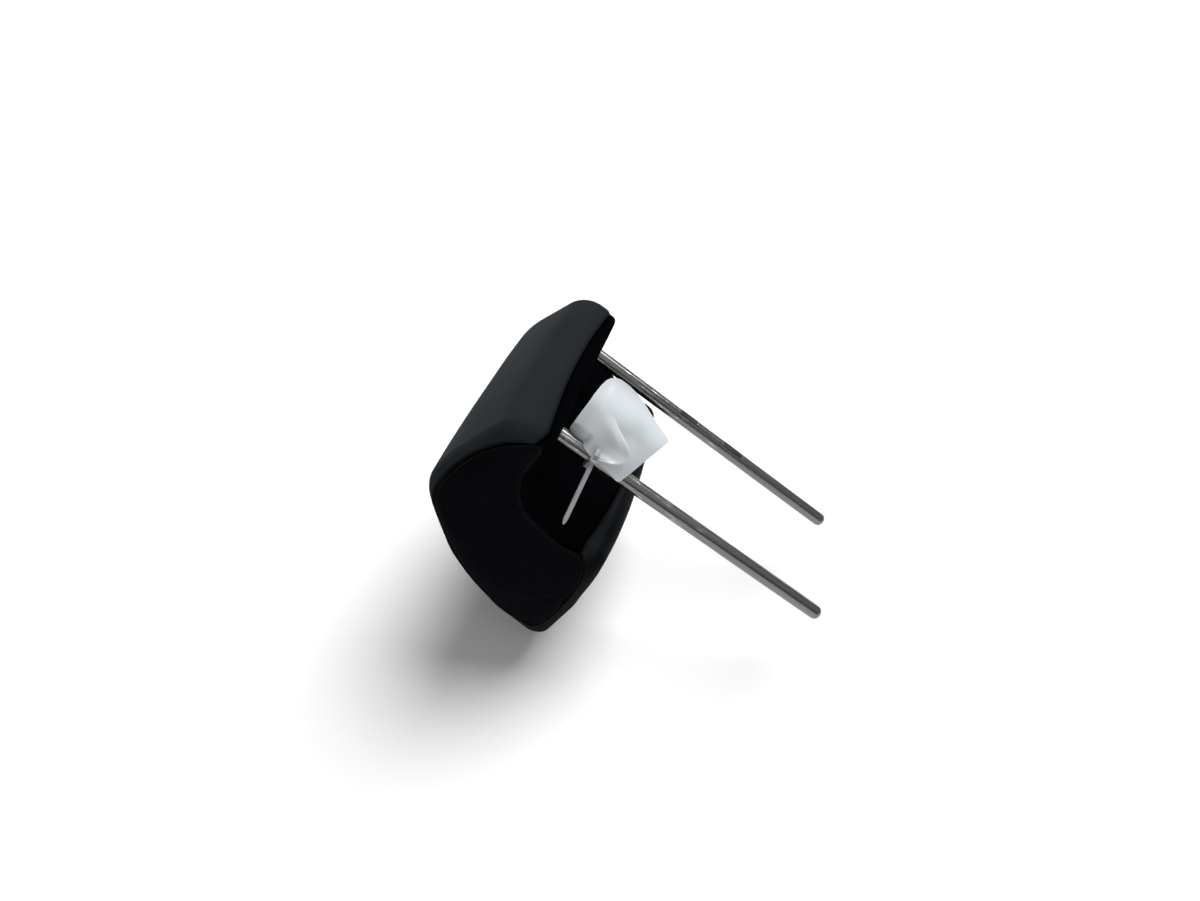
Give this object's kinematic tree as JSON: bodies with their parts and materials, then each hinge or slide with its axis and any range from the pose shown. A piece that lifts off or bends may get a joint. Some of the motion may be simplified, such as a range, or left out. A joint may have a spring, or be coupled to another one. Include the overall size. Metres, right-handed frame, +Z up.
{
  "type": "car headrest",
  "caption": "Rear-seat headrest: a comma-shaped fabric cushion that hangs in front of its round steel posts, with a bare tag tied to one post.",
  "frame": {"origin": "midway between the two post axes, level with the post tips", "axes": "+Z up along the posts towards the cushion, +Y to the rear of the car, +X to the sitter's left; the lobe hangs on the -Y side"},
  "size_m": [0.2226, 0.2325, 0.3245],
  "materials": {
    "steel": "drawn bar, lightly worn, semi-bright",
    "core_plastic": "moulded, matt",
    "screw_steel": "zinc plated",
    "foam": "open-cell moulded polyurethane foam",
    "cover_fabric": "fine knitted fabric, matt",
    "tag_film": "translucent white film, satin",
    "tie_nylon": "natural nylon"
  },
  "bodies": {
    "root": {"post_frame": "steel", "core_lower": "core_plastic", "core_upper": "core_plastic", "core_screw_1": "screw_steel", "core_screw_2": "screw_steel", "core_screw_3": "screw_steel", "core_screw_4": "screw_steel", "foam_pad": "foam", "cover_main_panel": "cover_fabric", "cover_side_left": "cover_fabric", "cover_side_right": "cover_fabric", "cover_inner_panel": "cover_fabric", "cover_rear_lip": "cover_fabric", "tag_sheet": "tag_film", "cable_tie": "tie_nylon"}
  },
  "joints": []
}
